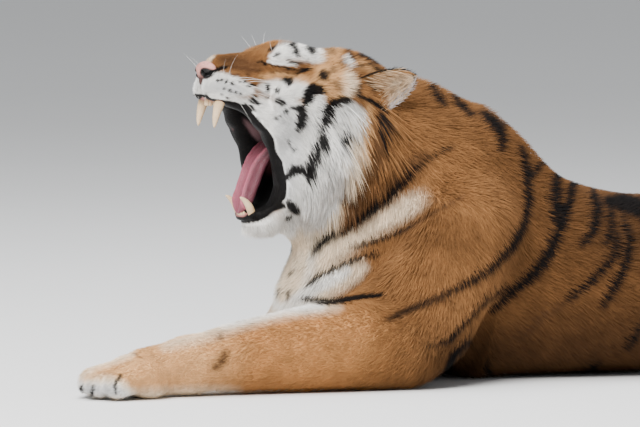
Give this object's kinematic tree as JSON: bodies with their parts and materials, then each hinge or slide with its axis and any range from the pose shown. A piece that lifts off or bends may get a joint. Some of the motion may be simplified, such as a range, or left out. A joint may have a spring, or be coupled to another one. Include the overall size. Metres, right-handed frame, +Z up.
{
  "type": "siberian tiger",
  "caption": "Life-size still model of a male Siberian tiger lying on its chest, one foreleg stretched out, head raised in a full yawn with the eyes shut.",
  "frame": {"origin": "middle of the bounding box on the floor", "axes": "+Z up, the head points along -X, the tiger's left side is -Y, the long way of the body lies along X"},
  "size_m": [2.6664, 0.7218, 0.6013],
  "materials": {
    "coat": "matte thick fur, orange with black stripes",
    "pale_coat": "matte long fur, cream white with black marks",
    "lid": "dark bare rims with short fur",
    "nose_leather": "moist pink leather, black nostrils",
    "tongue": "wet pink",
    "tooth": "smooth ivory"
  },
  "bodies": {
    "root": {"cheek_left": "pale_coat", "cheek_right": "pale_coat", "head": "coat", "lower_jaw": "pale_coat", "upper_arm_left": "coat", "forearm_left": "coat", "paw_front_left": "coat", "thigh_left": "coat", "lower_leg_left": "coat", "paw_hind_left": "coat", "upper_arm_right": "coat", "forearm_right": "coat", "paw_front_right": "coat", "thigh_right": "coat", "lower_leg_right": "coat", "paw_hind_right": "coat", "neck": "coat", "chest": "coat", "torso": "coat", "hindquarters": "coat", "tail_root": "coat", "tail_middle": "coat", "tail_tip": "coat", "nose": "nose_leather", "eyelids_left": "lid", "eyelids_right": "lid", "ear_left": "coat", "ear_right": "coat", "upper_canine_left": "tooth", "lower_canine_left": "tooth", "upper_canine_right": "tooth", "lower_canine_right": "tooth", "tongue": "tongue"}
  },
  "joints": []
}
